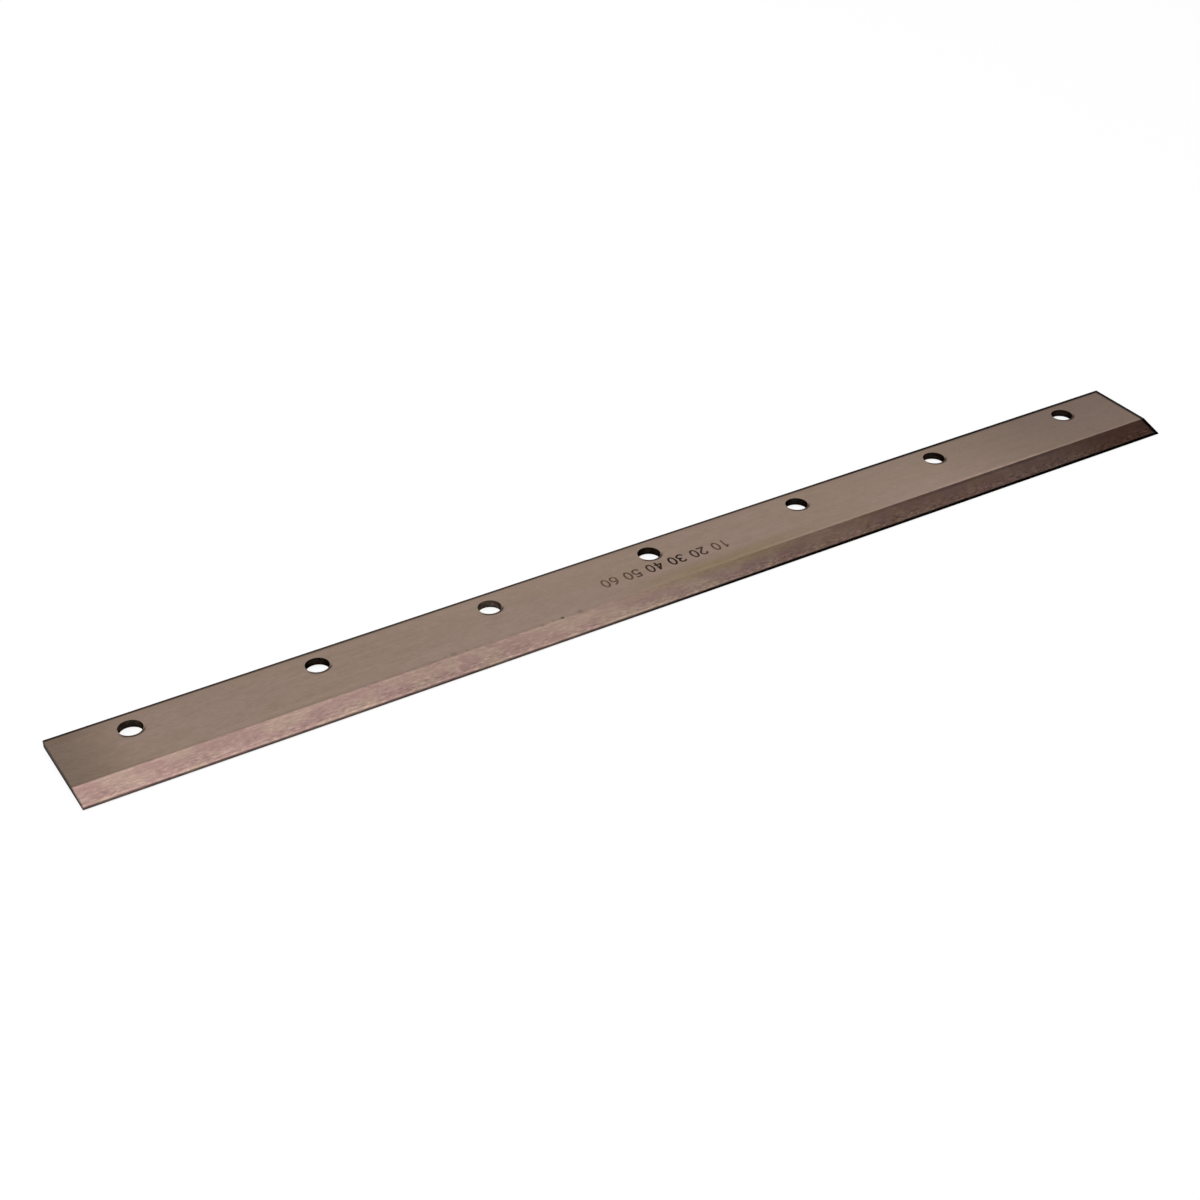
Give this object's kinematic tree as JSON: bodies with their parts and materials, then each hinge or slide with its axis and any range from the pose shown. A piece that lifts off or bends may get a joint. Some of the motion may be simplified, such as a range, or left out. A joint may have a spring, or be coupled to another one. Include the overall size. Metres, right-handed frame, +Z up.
{
  "type": "planer knife",
  "caption": "Long flat planer knife with a shallow ground bevel along its cutting edge and a row of round screw holes near its back edge.",
  "frame": {"origin": "middle of the plain underside, halfway along the length and halfway across the width", "axes": "+X along the length, -Y out of the cutting edge, +Z up from the plain face to the bevelled face"},
  "size_m": [0.34, 0.028, 0.0022],
  "materials": {
    "blade_steel": "satin ground steel with a faint warm brown tint, finer on the flat faces than on the bevel"
  },
  "bodies": {
    "root": {"blade": "blade_steel"}
  },
  "joints": []
}
